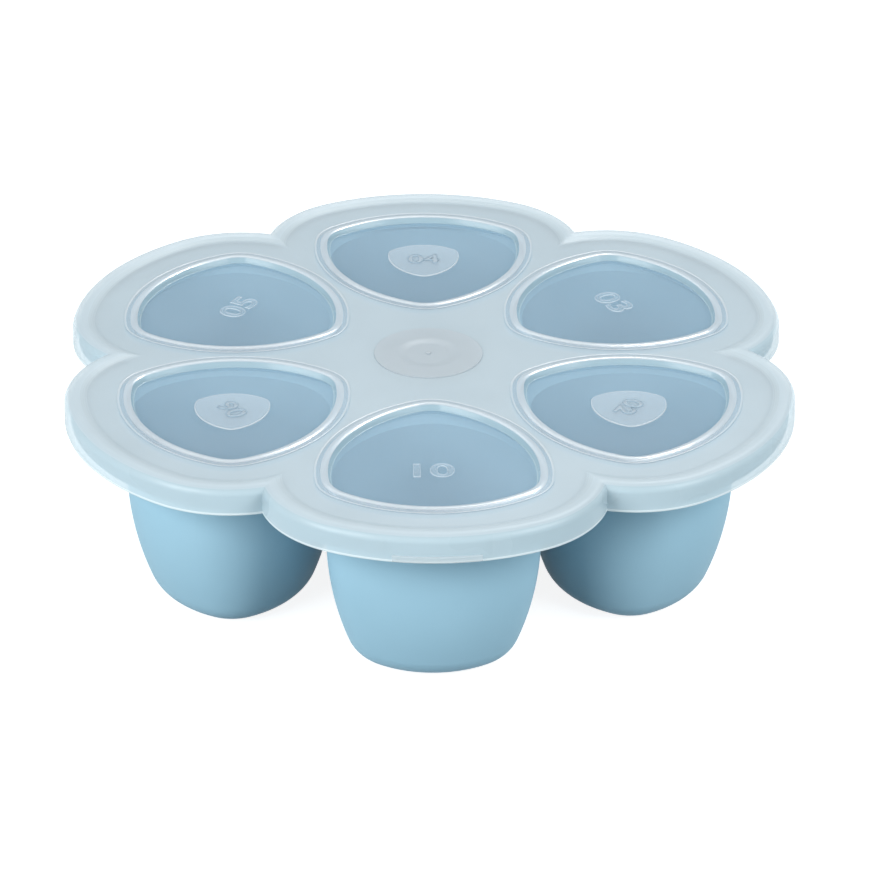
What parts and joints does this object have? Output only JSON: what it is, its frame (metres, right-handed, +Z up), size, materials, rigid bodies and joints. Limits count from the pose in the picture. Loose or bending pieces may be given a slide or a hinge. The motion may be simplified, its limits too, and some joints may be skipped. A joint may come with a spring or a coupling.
{
  "type": "baby food freezer tray",
  "caption": "Soft freezer tray with rounded-triangle cups hanging from a lobed deck, under a lift-off translucent lid with clear plug-in windows.",
  "frame": {"origin": "middle of the plane that the cups' feet stand on, under the tray's axis", "axes": "+Z up, out of the lid; -Y towards the front lobe with the lift tab"},
  "size_m": [0.2288, 0.2425, 0.065],
  "materials": {
    "silicone": "matte soft silicone, light blue",
    "lid_frosted": "frosted translucent polypropylene",
    "lid_clear": "polished clear polypropylene"
  },
  "bodies": {
    "tray": {"tray_deck": "silicone", "cup_1": "silicone", "cup_2": "silicone", "cup_3": "silicone", "cup_4": "silicone", "cup_5": "silicone", "cup_6": "silicone"},
    "lid": {"lid_frame": "lid_frosted", "lid_window_1": "lid_clear", "lid_window_2": "lid_clear", "lid_window_3": "lid_clear", "lid_window_4": "lid_clear", "lid_window_5": "lid_clear", "lid_window_6": "lid_clear"}
  },
  "joints": [
    {"name": "lid_lift", "type": "slide", "parent": "tray", "child": "lid", "axis": [0, 0, 1], "range_m": [0, 0.08]}
  ]
}
